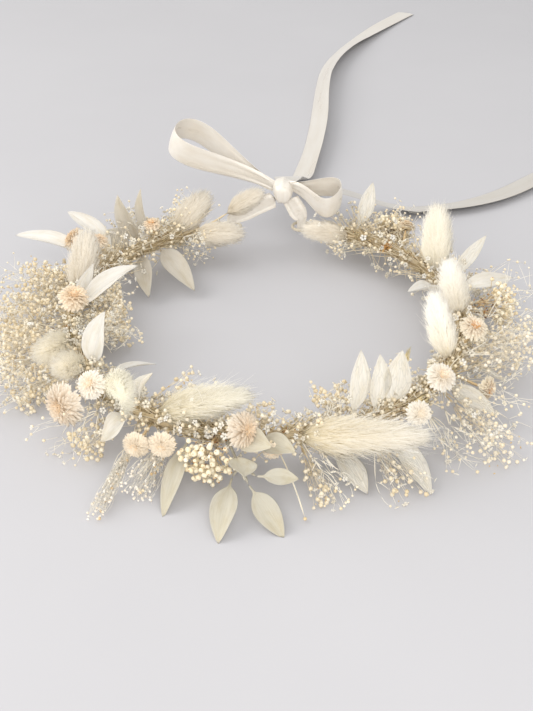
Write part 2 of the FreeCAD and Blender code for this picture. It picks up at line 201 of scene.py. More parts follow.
class Growth:
    """Many closed lofts that become one mesh, each with a cell of the UV square and a tint."""

    def __init__(self, grid=8):
        self.grid = grid
        self.points = []
        self.places = []
        self.tints = []
        self.quads = []
        self.fans = []
        self.quad_slots = []
        self.fan_slots = []
        self.count = 0

    def add(self, path, facing, width, depth, tint, cell=0, sides=6,
            cup=0.0, fold=0.0, slot=0, relief=None):
        """Lofts round the paths, of half-widths and half-depths at each station, with closed ends."""
        many, stations = path.shape[:2]
        if not many:
            return
        side, up = frames(path, facing)
        turn = np.arange(sides) * (2 * np.pi / sides)
        x = np.cos(turn)
        y = np.sin(turn)
        width = np.broadcast_to(width, (many, stations))[:, 1:-1, None]
        depth = np.broadcast_to(depth, (many, stations))[:, 1:-1, None]
        lift = depth * y + width * (cup * x ** 2 + fold * np.abs(x))
        if relief is not None:
            lift = lift + relief(x)[:, 1:-1]
        rings = path[:, 1:-1, None] + side[:, 1:-1, None] * (width * x)[..., None]
        rings = rings + up[:, 1:-1, None] * lift[..., None]
        points = np.concatenate([rings.reshape(many, -1, 3), path[:, :1], path[:, -1:]], 1)
        self.points.append(points.reshape(-1, 3))
        self.place(many, stations, x, cell)
        tint = np.broadcast_to(tint, (many, stations, 3))
        ring_tints = np.repeat(tint[:, 1:-1], sides, 1)
        self.tints.append(np.concatenate([ring_tints, tint[:, :1], tint[:, -1:]], 1).reshape(-1, 3))
        self.join(many, stations - 2, sides, slot)

    def place(self, many, stations, x, cell):
        """Across and along each loft become its cell's two directions."""
        along = np.linspace(0, 1, stations)
        across = np.tile((x + 1) / 2, stations - 2)
        across = np.concatenate([across, (0.5, 0.5)])
        along = np.concatenate([np.repeat(along[1:-1], len(x)), (0.0, 1.0)])
        cell = np.broadcast_to(cell, (many,))[:, None]
        shrink = 1 - 2 * CELL_MARGIN
        u = (cell % self.grid + CELL_MARGIN + shrink * across) / self.grid
        v = (cell // self.grid + CELL_MARGIN + shrink * along) / self.grid
        self.places.append(np.stack([u, v], -1).reshape(-1, 2))

    def join(self, many, rings, sides, slot):
        """The faces of a batch of lofts."""
        here = np.arange(sides)
        after = (here + 1) % sides
        start = np.arange(rings - 1)[:, None] * sides
        quads = np.stack([start + here, start + after, start + sides + after, start + sides + here], -1)
        last = (rings - 1) * sides
        poles = rings * sides
        low = np.stack([np.full(sides, poles), after, here], -1)
        high = np.stack([np.full(sides, poles + 1), last + here, last + after], -1)
        fans = np.concatenate([low, high])
        step = self.count + np.arange(many)[:, None, None] * (poles + 2)
        self.quads.append((quads.reshape(1, -1, 4) + step).reshape(-1, 4))
        self.fans.append((fans[None] + step).reshape(-1, 3))
        self.quad_slots.append(np.full(len(self.quads[-1]), slot))
        self.fan_slots.append(np.full(len(self.fans[-1]), slot))
        self.count += many * (poles + 2)

    def piece(self, name, materials):
        """The finished mesh object, in metres."""
        points = np.concatenate(self.points)
        points[:, 2] = np.maximum(points[:, 2], FLOOR_CLEARANCE)
        quads = np.concatenate(self.quads)
        fans = np.concatenate(self.fans)
        corners = np.concatenate([quads.ravel(), fans.ravel()])
        starts = np.concatenate([np.arange(len(quads)) * 4, len(quads) * 4 + np.arange(len(fans)) * 3])
        mesh = bpy.data.meshes.new(name)
        mesh.vertices.add(len(points))
        mesh.vertices.foreach_set("co", (points * MM).ravel())
        mesh.loops.add(len(corners))
        mesh.loops.foreach_set("vertex_index", corners.astype(np.int32))
        mesh.polygons.add(len(starts))
        mesh.polygons.foreach_set("loop_start", starts.astype(np.int32))
        slots = np.concatenate(self.quad_slots + self.fan_slots)
        for material in materials:
            mesh.materials.append(material)
        mesh.polygons.foreach_set("material_index", slots.astype(np.int32))
        mesh.polygons.foreach_set("use_smooth", np.ones(len(starts), bool))
        mesh.update(calc_edges=True)
        layer = mesh.uv_layers.new(name=UV_NAME)
        layer.data.foreach_set("uv", np.concatenate(self.places)[corners].ravel())
        tints = np.concatenate(self.tints)
        colours = mesh.color_attributes.new("tint", "FLOAT_COLOR", "POINT")
        colours.data.foreach_set("color", np.concatenate([tints, np.ones((len(tints), 1))], 1).ravel())
        return add_object(name, mesh)


# Materials


class Paint:
    """A material's node tree around one Principled shader."""

    def __init__(self, name, roughness=0.7, **values):
        self.material = bpy.data.materials.new(name)
        self.material.use_nodes = True
        self.tree = self.material.node_tree
        self.shader = self.tree.nodes["Principled BSDF"]
        self.shader.inputs["Roughness"].default_value = roughness
        self.shader.inputs["Subsurface Radius"].default_value = (1.0, 0.94, 0.86)
        for socket, value in values.items():
            label = socket.replace("_", " ").title().replace("Ior", "IOR")
            self.shader.inputs[label].default_value = value

    def node(self, kind, **values):
        made = self.tree.nodes.new("ShaderNode" + kind)
        for key, value in values.items():
            setattr(made, key, value)
        return made

    def link(self, source, target):
        self.tree.links.new(source, target)

    def uv(self, across, along):
        """The piece's UV map, stretched."""
        source = self.node("UVMap", uv_map=UV_NAME)
        mapping = self.node("Mapping")
        mapping.inputs["Scale"].default_value = (across, along, 1)
        self.link(source.outputs["UV"], mapping.inputs["Vector"])
        return mapping.outputs["Vector"]

    def noise(self, where, scale, detail=3.0, roughness=0.5):
        made = self.node("TexNoise")
        made.inputs["Scale"].default_value = scale
        made.inputs["Detail"].default_value = detail
        made.inputs["Roughness"].default_value = roughness
        self.link(where, made.inputs["Vector"])
        return made.outputs["Fac"]

    def ramp(self, source, stops):
        """A colour ramp through (place, colour or grey) stops."""
        made = self.node("ValToRGB")
        elements = made.color_ramp.elements
        while len(elements) < len(stops):
            elements.new(0.5)
        for element, (place, colour) in zip(elements, stops):
            colour = (colour, colour, colour) if isinstance(colour, float) else colour
            element.position = place
            element.color = (*colour, 1)
        self.link(source, made.inputs["Fac"])
        return made.outputs["Color"]

    def blend(self, first, second, mode="MULTIPLY", share=1.0):
        made = self.node("Mix", data_type="RGBA", blend_type=mode)
        for socket, source in ((made.inputs[6], first), (made.inputs[7], second)):
            if isinstance(source, tuple):
                socket.default_value = (*source, 1)
            else:
                self.link(source, socket)
        if isinstance(share, float):
            made.inputs[0].default_value = share
        else:
            self.link(share, made.inputs[0])
        return made.outputs[2]

    def tint(self):
        return self.node("Attribute", attribute_name="tint").outputs["Color"]

    def colour(self, source):
        self.link(source, self.shader.inputs["Base Color"])

    def bump(self, source, strength, distance):
        made = self.node("Bump")
        made.inputs["Strength"].default_value = strength
        made.inputs["Distance"].default_value = distance * MM
        self.link(source, made.inputs["Height"])
        self.link(made.outputs["Normal"], self.shader.inputs["Normal"])

    def rough(self, source, low, high):
        made = self.node("MapRange")
        made.inputs["To Min"].default_value = low
        made.inputs["To Max"].default_value = high
        self.link(source, made.inputs["Value"])
        self.link(made.outputs["Result"], self.shader.inputs["Roughness"])


def plant_paint(name, roughness, across, along, scale, bump, low=0.82, **values):
    """A dried plant's skin: its tint, streaked and bumped in the piece's own directions."""
    paint = Paint(name, roughness, **values)
    streaks = paint.noise(paint.uv(across, along), scale, 4.0, 0.6)
    paint.colour(paint.blend(paint.tint(), paint.ramp(streaks, [(0.3, low), (0.7, 1.0)])))
    paint.rough(streaks, roughness + 0.1, roughness - 0.1)
    if bump:
        paint.bump(streaks, bump, 0.4)
    return paint.material


def leaf_paint(name, roughness, side_veins, strength, **values):
    """A leaf: fine fibres along it, side veins and paler or tan spots."""
    paint = Paint(name, roughness, **values)
    fibres = paint.noise(paint.uv(150, 9), 1.0, 3.0, 0.6)
    mottle = paint.noise(paint.uv(14, 14), 1.0, 4.0, 0.6)
    colour = paint.blend(paint.tint(), paint.ramp(fibres, [(0.3, 0.86), (0.7, 1.0)]))
    spots = paint.ramp(mottle, [(0.35, (0.86, 0.80, 0.68)), (0.55, 1.0)])
    colour = paint.blend(colour, spots, share=0.6)
    height = fibres
    if side_veins:
        net = paint.node("TexVoronoi", feature="DISTANCE_TO_EDGE")
        net.inputs["Scale"].default_value = side_veins
        paint.link(paint.uv(1.6, 0.8), net.inputs["Vector"])
        veins = paint.ramp(net.outputs["Distance"], [(0.0, 0.0), (0.12, 1.0)])
        shade = paint.ramp(net.outputs["Distance"], [(0.0, 0.74), (0.10, 1.0)])
        colour = paint.blend(colour, shade, share=0.7)
        height = paint.blend(fibres, veins, "MULTIPLY")
    paint.colour(colour)
    paint.rough(mottle, roughness + 0.12, roughness - 0.08)
    paint.bump(height, strength, 0.3)
    return paint.material


def satin_paint(name):
    """Satin ribbon: a fine warp along it and a soft, lengthwise gloss."""
    paint = Paint(name, 0.28, specular_ior_level=0.8, sheen_weight=0.2, sheen_roughness=0.35)
    warp = paint.noise(paint.uv(260, 8), 1.0, 2.0, 0.5)
    cloud = paint.noise(paint.uv(3, 12), 1.0, 2.0, 0.5)
    colour = paint.blend(paint.tint(), paint.ramp(warp, [(0.3, 0.93), (0.7, 1.0)]))
    paint.colour(paint.blend(colour, paint.ramp(cloud, [(0.35, (0.93, 0.91, 0.88)), (0.65, 1.0)])))
    paint.rough(cloud, 0.24, 0.34)
    paint.bump(warp, 0.18, 0.05)
    return paint.material


def wire_paint(name):
    """Florist's wire, rubbed and dulled."""
    paint = Paint(name, 0.45)
    where = paint.node("TexCoord").outputs["Object"]
    wear = paint.noise(where, 900.0, 4.0, 0.6)
    paint.colour(paint.ramp(wear, WIRE_TONES))
    paint.rough(wear, 0.38, 0.6)
    paint.bump(wear, 0.2, 0.05)
    return paint.material


plume_skin = plant_paint("bunny_tail_hair", 0.72, 60, 4, 1.0, 0.0, 0.94)
petal_skin = plant_paint("strawflower_petal", 0.5, 220, 12, 1.0, 0.4, 0.92, specular_ior_level=0.45)
bud_skin = plant_paint("dried_bud", 0.68, 70, 70, 1.0, 0.6, 0.86)
stem_skin = plant_paint("dried_stem", 0.62, 120, 40, 1.0, 0.5, 0.72)
tape_skin = plant_paint("floral_tape", 0.74, 60, 420, 1.0, 0.8, 0.6)
leaf_skin = leaf_paint(
    "ruscus_leaf", 0.5, 0, 0.35, specular_ior_level=0.4, subsurface_weight=0.35, subsurface_scale=0.002)
clear_leaf_skin = leaf_paint(
    "skeleton_leaf", 0.55, 26, 0.5, alpha=0.88, subsurface_weight=0.6, subsurface_scale=0.003)
satin = satin_paint("ivory_satin")
wire_skin = wire_paint("painted_wire")


# The frame's solids


def solids_of(node):
    """The corner points of each solid of a CAD node."""
    mesh = frame["nodes"][node].data
    points, merged = np.unique(read(mesh.vertices, "co").round(7), axis=0, return_inverse=True)
    merged = merged.ravel()
    label = np.arange(len(points))
    ends = np.empty(len(mesh.edges) * 2, np.int32)
    mesh.edges.foreach_get("vertices", ends)
    ends = merged[ends].reshape(-1, 2)
    changed = True
    while changed:
        lowest = np.minimum(label[ends[:, 0]], label[ends[:, 1]])
        before = label.copy()
        np.minimum.at(label, ends[:, 0], lowest)
        np.minimum.at(label, ends[:, 1], lowest)
        label = label[label]
        changed = not np.array_equal(before, label)
    return [points[label == one] / MM for one in np.unique(label)]


class Rooted:
    """Something with an axis and two directions square to it."""

    def out(self, turn):
        return np.cos(turn)[..., None] * self.side + np.sin(turn)[..., None] * self.other


class Spray(Rooted):
    """A cone that twigs grow in: its root, axis, length and the radius at its far end."""

    def __init__(self, root, tip, radius):
        self.root = np.array(root, float)
        reach = np.array(tip, float) - self.root
        self.length = np.linalg.norm(reach)
        self.axis = reach / self.length
        self.radius = radius
        self.side, self.other = square_to(self.axis)


class Head(Rooted):
    """A solid on a stalk: its root at the hoop, its axis, where it starts to swell and its radius."""

    def __init__(self, points):
        gap = np.hypot(np.hypot(points[:, 0], points[:, 1]) - HOOP_RADIUS, points[:, 2] - HOOP_HEIGHT)
        nearest = points[gap.argmin()]
        self.root = points[np.linalg.norm(points - nearest, axis=1) < 1.25].mean(0)
        reach = np.linalg.norm(points - self.root, axis=1)
        self.tip = points[reach.argmax()]
        self.length = reach.max()
        self.axis = unit(self.tip - self.root)
        along = (points - self.root) @ self.axis
        off = np.linalg.norm(points - self.root - along[:, None] * self.axis, axis=1)
        self.start = along[off > 0.8].min()
        self.radius = off.max()
        self.side, self.other = square_to(self.axis)


def heads_of(node):
    return [Head(points) for points in solids_of(node)]


body_of = {node: body for body, nodes in frame["record"]["behaviour"]["bodies"].items() for node in nodes}


def settle(piece, slot, *nodes):
    """The piece stands for these CAD nodes and moves with their body."""
    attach(piece, body_of[nodes[0]])
    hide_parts(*nodes)


# Dried plants


def soften(growth, name, skin, parent):
    """Hair or petals so thin that light passes through them: they throw no shade of their own."""
    piece = growth.piece(name, [skin])
    piece.parent = parent
    piece.visible_shadow = False
    return piece


def round_off(piece, foot, axis, size, radius):
    """Light falls on a tail's hairs partly as on the smooth egg that they cover."""
    mesh = piece.data
    points = read(mesh.vertices, "co") / MM - foot
    own = read(mesh.vertices, "normal")
    along = points @ axis
    radial = points - along[:, None] * axis
    egg = unit(radial / radius ** 2 + ((along - size * 0.45) / (size * 0.6) ** 2)[:, None] * axis)
    mesh.normals_split_custom_set_from_vertices(unit(egg * EGG_SHARE + own * (1 - EGG_SHARE)))


def add_stalk(growth, rng, start, end, thick, thin, colours, slot, cell=60, sides=5, bow=0.035):
    """Thin stems from each start to each end, a little crooked."""
    many = len(start)
    reach = np.linalg.norm(end - start, axis=1)[:, None]
    path = bent(start, end, rng.normal(size=(many, 3)) * reach * bow, 5)
    radius = np.linspace(thick, thin, 5)
    tint = mixed(*colours, np.linspace(0, 1, 5))
    tone = cell + np.arange(many) % 4
    growth.add(path, rng.normal(size=(many, 1, 3)), radius, radius, tint, tone, sides, slot=slot)


def add_beads(growth, rng, centres, aims, size, colours, slot, cells=(0, 16), sides=6):
    """Small round closed buds, lumpy and a little open at the top."""
    many = len(centres)
    size = size * rng.uniform(0.75, 1.2, many)[:, None]
    share = np.array((-1.0, -0.72, -0.1, 0.55, 0.92, 0.78))
    path = centres[:, None] + aims[:, None] * share[:, None] * size[..., None]
    girth = np.array((0.0, 0.55, 1.0, 0.85, 0.45, 0.0)) * size
    tone, shade = shades(rng, many, cells, colours)
    tint = shade[:, None] * np.array((0.84, 0.94, 1.0, 1.0, 0.97, 0.72))[:, None]
    ripple = rng.normal(size=(many, 6, sides)) * 0.09 * size[:, :1, None]
    start = rng.normal(size=(many, 1, 3))
    growth.add(path, start, girth, girth, tint, tone, sides, slot=slot, relief=lambda x: ripple)


def add_rosettes(growth, rng, centres, aims, size, colours, slot, petals=5):
    """Tiny open flowers: a ring of cupped petals round each centre."""
    many = len(centres)
    side, other = [np.repeat(way, petals, 0) for way in square_to(aims)]
    spin = np.repeat(rng.uniform(0, 6.28, many), petals)
    step = np.tile(np.arange(petals) * 2 * np.pi / petals, many) + spin
    step = step + rng.normal(size=len(step)) * 0.12
    heart = np.repeat(centres, petals, 0)
    aim = np.repeat(aims, petals, 0)
    out = np.cos(step)[:, None] * side + np.sin(step)[:, None] * other
    reach = np.repeat(size * rng.uniform(0.8, 1.25, many), petals)[:, None, None]
    share = np.array((0.0, 0.25, 0.62, 0.9, 1.0))[:, None]
    rise = np.array((0.0, 0.32, 0.52, 0.55, 0.48))[:, None]
    path = heart[:, None] + reach * (out[:, None] * share + aim[:, None] * rise)
    width = np.array((0.0, 0.22, 0.42, 0.3, 0.0)) * reach[..., 0]
    tone, shade = [np.repeat(values, petals, 0) for values in shades(rng, many, (16, 32), colours)]
    tint = shade[:, None] * np.array((0.8, 0.9, 1, 1, 1))[:, None]
    facing = aim[:, None] - out[:, None] * 0.5
    growth.add(path, facing, width, width * 0.12 + 0.04, tint, tone, 4, 0.35, slot=slot)


def add_bits(growth, rng, centres, length, radius, colours, slot, cells=(32, 40)):
    """Short broken twigs and flecks, lying every way."""
    many = len(centres)
    aim = unit(rng.normal(size=(many, 3)))
    half = aim * length * rng.uniform(0.3, 1.0, many)[:, None] / 2
    path = bent(centres - half, centres + half, rng.normal(size=(many, 3)) * length * 0.08, 5)
    tone, shade = shades(rng, many, cells, colours)
    girth = radius * rng.uniform(0.6, 1.2, many)[:, None] * np.array((0, 0.8, 1, 0.9, 0))
    growth.add(path, rng.normal(size=(many, 1, 3)), girth, girth, shade[:, None], tone, 5, slot=slot)


def core_outline(share, taper):
    """How wide a bunny tail's core is along its length, as a share of its widest."""
    rise = np.clip(share / 0.22, 0, 1) ** 0.6
    fall = np.clip((1 - share) / 0.14, 0, 1) ** 0.5
    closing = np.sqrt(np.clip(1 - (share / 0.96) ** 3, 0, 1))
    return rise * fall * closing * (1 - taper * share ** 1.5)


def add_hair(growth, rng, head, base, count, reach, lean, radius, colours, taper, painted_root_shade, spread=0.13):
    """Curved hairs that leave the head's core and sweep up towards its tip, which they close."""
    size = head.length - head.start
    share = rng.random(count) ** 0.85 * 0.95
    turn = rng.uniform(0, 2 * np.pi, count)
    out = head.out(turn)
    inward = np.where(share > 0.80, np.sqrt(rng.random(count)), 1.0)
    skin = base(share) + out * (head.radius * 0.5 * core_outline(share, taper) * inward)[:, None]
    reach = (size * rng.uniform(*reach, count) + 2.2)[:, None]
    stand = (rng.uniform(*lean, count) * inward * (1 - taper * 0.6 * share))[:, None]
    first = unit(head.axis + out * stand * 1.5 + rng.normal(size=(count, 3)) * spread)
    last = unit(head.axis + out * stand * 0.5 + rng.normal(size=(count, 3)) * spread)
    middle = unit(first + last)
    path = np.stack([
        skin - first * 0.5, skin + first * reach * 0.3, skin + (first * 0.3 + middle * 0.35) * reach,
        skin + (first * 0.3 + middle * 0.35 + last * 0.25) * reach,
        skin + (first * 0.3 + middle * 0.35 + last * 0.35) * reach], 1)
    group = np.minimum((share / 0.93 * 8).astype(int), 7)
    tone = group * 4 + rng.integers(0, 4, count)
    start = mixed(colours[0], colours[1], group / 7)
    shade = (0.90 + 0.03 * (tone % 4))[:, None]
    pale = (np.array(colours[1]) + WHITE) / 2
    # Painted shade: each hair's colour darkens towards its root, as if shaded by the hairs around it.
    tint = np.stack([start * painted_root_shade, start * (0.5 + 0.5 * painted_root_shade), mixed(start, pale, np.full(count, 0.35)),
                     mixed(start, pale, np.full(count, 0.7)), mixed(start, pale, np.full(count, 0.9))], 1)
    girth = radius * np.array((0, 1.0, 0.85, 0.5, 0))
    growth.add(path, out[:, None], girth, girth, tint * shade[:, None], tone, 3, slot=0)


# The two front tails' colours are partly their own cream and partly painted shade, darker than the rest
# to offset the fuller light on them.
BUNNY_LOOKS = {     # colours at foot and tip, sideways bend, droop, taper, painted shade at the hairs' roots, fluff
    "bunny_tail_front_left": ((0.69, 0.60, 0.395), (0.70, 0.665, 0.55), (0, 0, 1.6), 0, 0.72, 0.76, 1.0),
    "bunny_tail_front_right": (
        (0.72, 0.62, 0.41), (0.72, 0.665, 0.56), (0, -1.2, 1.0), 0, 0.80, 0.78, 0.9),
    "bunny_tail_front_corner": ((0.83, 0.79, 0.63), (0.86, 0.83, 0.71), (0, -2, 11), 11, 0.15, 0.94, 1.0),
    "bunny_tail_left_1": (*PLUME, (0, 0, 0), 3, 0.3, 0.90, 1.3),
    "bunny_tail_left_2": (*PLUME, (0, 0, 0), 3, 0.3, 0.90, 1.3),
    "bunny_tail_back_right_1": ((0.84, 0.78, 0.63), (0.90, 0.85, 0.73), (0, 0, 0), 0, 0.3, 0.86, 1.3),
    "bunny_tail_right_1": (IVORY, WHITE, (0, 0, 0), 0, 0.4, 0.86, 1.0),
    "bunny_tail_right_2": (IVORY, WHITE, (0, 0, 0), 0, 0.4, 0.86, 1.0),
}
PLAIN_TAIL = ((0.70, 0.62, 0.49), (0.76, 0.69, 0.58), (0, 0, 0.6), 0, 0.30, 0.84, 1.45)


def bunny_tail(node):
    """An egg-shaped soft head of fine hairs, with longer awns past its tip."""
    rng = seeded(node)
    head = heads_of(node)[0]
    low, high, bend, droop, taper, painted_root_shade, fluff = BUNNY_LOOKS.get(node, PLAIN_TAIL)
    growth = Growth()
    size = head.length - head.start
    foot = head.root + head.axis * head.start

    def base(share):
        share = np.asarray(share)[..., None]
        path = foot + head.axis * size * share + np.array(bend) * (4 * share * (1 - share))
        return path - np.array((0, 0, droop)) * share ** 2

    share = np.linspace(0.0, 0.96, 16)
    lumps = rng.normal(size=(1, 16, 12)) * 0.2
    core = mixed(np.array(low) * 0.9, np.array(high) * 0.95, share)
    girth = head.radius * 0.50 * core_outline(share, taper) + 0.1
    growth.add(base(share)[None], head.side, girth, girth, core, 56, 12, relief=lambda x: lumps)
    area = 2 * math.pi * head.radius * size
    add_stalk(growth, rng, head.root[None], base(0.1)[None], NECK_RADIUS, 0.55, (STRAW, CREAM), 1)
    piece = growth.piece(node + "_core", [plume_skin, stem_skin])
    settle(piece, "bunny_tail", node)
    hair = Growth()
    down = (0.13 * fluff, 0.26 * fluff)
    add_hair(hair, rng, head, base, int(450 + 1.8 * area), down, (0.25, 0.75), 0.12,
             (low, high), taper, painted_root_shade)
    awns = (0.28, 0.44)
    add_hair(hair, rng, head, base, int(80 + 0.13 * area), awns, (0.3, 0.8), 0.05,
             (high, WHITE), taper, painted_root_shade, 0.16)
    fur = soften(hair, node + "_hair", plume_skin, piece)
    round_off(fur, foot, head.axis, size, head.radius)


def add_petals(growth, rng, head, depth, heart, petals, width, colours, curl):
    """A spiral of papery petals, from the flower's middle out to its rim and a little under it."""
    place = (np.arange(petals) + 0.5) / petals
    polar = np.radians(10 + 102 * place ** 0.75 + rng.normal(size=petals) * 3)[:, None]
    out = head.out(np.arange(petals) * GOLDEN + rng.normal(size=petals) * 0.10)
    aim = head.axis * np.cos(polar) + out * np.sin(polar)
    facing = head.axis * np.sin(polar) - out * np.cos(polar)
    dome = depth * 0.66 * np.cos(polar).clip(0) ** 2 + head.radius * 1.02 * np.sin(polar) ** 2
    reach = dome * rng.uniform(0.9, 1.06, (petals, 1))
    share = np.array((0.18, 0.36, 0.56, 0.76, 0.92, 1.0))[None, :, None]
    swell = facing[:, None] * reach[:, None] * 0.16 * (np.sin(share * 3.0) - 0.3)
    tip = out[:, None] * curl * place[:, None, None] * reach[:, None] * share ** 4
    path = heart + aim[:, None] * reach[:, None] * share + swell + tip * 0.35
    path = path + rng.normal(size=(petals, 1, 3)) * 0.12
    broad = width * (0.62 + 0.38 * place)[:, None] * np.array((0, 0.7, 1.0, 0.95, 0.6, 0))
    group = np.minimum((place * 8).astype(int), 7)
    tone = group * 4 + rng.integers(0, 4, petals)
    inner = mixed(colours[0], colours[1], (group / 7) ** 0.8)
    outer = mixed(colours[1], colours[2], (group / 7) ** 0.6)
    fade = np.array((0.0, 0.1, 0.35, 0.7, 0.95, 1.0))
    # Painted shade: each petal's colour darkens towards its base, where the petals crowd together.
    painted_root_shade = np.array((0.45, 0.55, 0.72, 0.90, 1.0, 1.0))
    tint = inner[:, None] * ((1 - fade) * painted_root_shade)[:, None] + outer[:, None] * (fade * painted_root_shade)[:, None]
    tint = tint * (0.88 + 0.03 * (tone % 4))[:, None, None]
    growth.add(path, facing[:, None], broad, broad * 0.10 + 0.05, tint, tone, 6, 0.45)


def add_florets(growth, rng, head, depth, heart, colour):
    """The short florets that fill the flower's middle."""
    florets = int(30 + head.radius * 7)
    spot = (np.arange(florets) + 0.5) / florets
    lean = np.radians(34 * np.sqrt(spot))[:, None]
    ring = head.out(np.arange(florets) * GOLDEN)
    aim = head.axis * np.cos(lean) + ring * np.sin(lean)
    root = heart + aim * depth * 0.35
    reach = depth * rng.uniform(0.22, 0.30, (florets, 1))
    path = bent(root, root + aim * reach, rng.normal(size=(florets, 3)) * 0.12, 5)
    girth = 0.24 * np.array((0, 0.8, 1, 1, 0))
    tint = mixed(np.array(colour) * 0.85, colour, np.linspace(0, 1, 5))
    tone = 40 + np.arange(florets) % 4
    growth.add(path, rng.normal(size=(florets, 1, 3)), girth, girth, tint, tone, 5)


def add_cup(growth, head, depth, heart, colour):
    """The solid core that the petals stand on, and the bracts that hold it from below."""
    core = np.linspace(-0.25, 0.62, 8)[:, None]
    path = (heart + head.axis * depth * core)[None]
    girth = head.radius * 0.42 * np.array((0, 0.8, 1, 1, 0.95, 0.8, 0.5, 0))
    growth.add(path, head.side, girth, girth, np.array(colour) * 0.85, 44, 10)
    ring = head.out(np.arange(BRACTS) * GOLDEN)
    neck = head.root + head.axis * (head.start + depth * 0.02)
    end = neck + ring * head.radius * 0.62 + head.axis * depth * 0.22
    path = bent(neck + ring * 0.4, end, -head.axis * depth * 0.06 + ring * 0.5, 5)
    broad = head.radius * 0.2 * np.array((0, 0.8, 1, 0.7, 0))
    tint = mixed(TAN, CREAM, np.linspace(0, 1, 5))
    growth.add(path, head.axis - ring * 0.6, broad, 0.1, tint, 48, 6, 0.3, slot=1)


POMPOM = (PEACH, PALE_PEACH, WHITE)
STRAWFLOWER_LOOKS = {   # petals, half-width, colours, outward curl
    "strawflower_front_corner": (330, 1.0, (PEACH, BLUSH, CHALKY), 1.1),
    "strawflower_front_corner_small": (260, 0.66, POMPOM, 0.4),
    "strawflowers_front_left": (420, 0.52, (PEACH, PALE_PEACH, PALE_PEACH), 0.3),
    "strawflower_front": (280, 0.85, (PEACH, BLUSH, CHALKY), 0.9),
    "strawflower_front_bud": (200, 0.5, (PEACH, PALE_PEACH, PALE_PEACH), 0.2),
    "strawflower_front_right": (260, 0.55, (PALE_PEACH, PALE_PEACH, WHITE), 0.6),
    "strawflower_right_corner": (280, 0.62, POMPOM, 0.6),
    "strawflowers_right": (220, 0.66, ((0.76, 0.42, 0.16), PALE_PEACH, IVORY), 0.6),
    "strawflower_back_right": (120, 0.9, ((0.72, 0.38, 0.12), PEACH, IVORY), 0.4),
    "strawflower_back_left": (120, 0.9, ((0.86, 0.52, 0.24), PEACH, PALE_PEACH), 0.3),
    "strawflowers_left": (200, 0.9, ((0.88, 0.62, 0.38), PEACH, PALE_PEACH), 0.4),
}


def strawflowers(node):
    """Strawflowers: a dome of papery petals round a dense middle, each on its own stalk."""
    rng = seeded(node)
    petals, width, colours, curl = STRAWFLOWER_LOOKS[node]
    growth = Growth()
    petal_growth = Growth()
    for head in heads_of(node):
        depth = head.length - head.start
        heart = head.root + head.axis * (head.start + depth * 0.30)
        add_petals(petal_growth, rng, head, depth, heart, petals, width, colours, curl)
        add_florets(growth, rng, head, depth, heart, colours[0])
        add_cup(growth, head, depth, heart, colours[1])
        neck = head.root + head.axis * (head.start + 1.5)
        add_stalk(growth, rng, head.root[None], neck[None], NECK_RADIUS, 0.7, (STRAW, TAN), 1)
    piece = growth.piece(node + "_heart", [petal_skin, stem_skin])
    settle(piece, "strawflower", node)
    soften(petal_growth, node + "_petals", petal_skin, piece)


def clustered(ends, head, forks, twigs, tips):
    """The ends in groups that lie near each other: by their turn round the head, offset and height."""
    reach = ends - head.root
    along = reach @ head.axis
    turn = np.arctan2(reach @ head.other, reach @ head.side)
    off = np.linalg.norm(reach - along[:, None] * head.axis, axis=1)
    used = len(ends) // (forks * twigs * tips) * forks * twigs * tips
    groups = np.arange(used)[None]
    for key, count in ((turn, forks), (off, forks * twigs), (along, forks * twigs * tips)):
        groups = np.take_along_axis(groups, np.argsort(key[groups], -1), -1).reshape(count, -1)
    return ends[groups]


def forked(growth, rng, head, ends, forks, twigs, thick, colours, slot, bow=0.04, tips=3, kink=0.06):
    """Stems that fork three times on their way to the ends.  Returns each end and its direction."""
    groups = clustered(ends, head, forks, twigs, tips)
    root = head.root

    def back(points, low, high):
        share = rng.uniform(low, high, (len(points), 1))
        return root + (points - root) * share + rng.normal(size=points.shape) * head.radius * kink

    third = back(groups.mean(1), 0.80, 0.90)
    second = back(third.reshape(forks * twigs, tips, 3).mean(1), 0.68, 0.82)
    first = back(second.reshape(forks, twigs, 3).mean(1), 0.5, 0.68)
    each = groups.shape[1]
    last = groups.reshape(-1, 3)
    levels = ((np.repeat(root[None], forks, 0), first, 1.0), (np.repeat(first, twigs, 0), second, 0.72),
              (np.repeat(second, tips, 0), third, 0.52), (np.repeat(third, each, 0), last, 0.36))
    for start, end, share in levels:
        colour = mixed(*colours, 1 - share)
        girth = thick * share
        add_stalk(growth, rng, start, end, girth, girth * 0.75, (colour, colour), slot, 52, 4, bow)
    return last, unit(last - levels[3][0])


def spray_ends(rng, head, count, near, widen, floor=1.2):
    """Where a spray's twigs end: spread through its cone, more of them far out."""
    share = near + (1 - near) * rng.random(count) ** 0.8
    off = head.radius * widen * (0.30 + 0.70 * share) * np.sqrt(rng.random(count))
    out = head.out(rng.uniform(0, 6.28, count))
    ends = head.root + head.axis * (head.length * share)[:, None] + out * off[:, None]
    ends[:, 2] = np.maximum(ends[:, 2], floor + rng.random(count) * 1.5)
    return ends


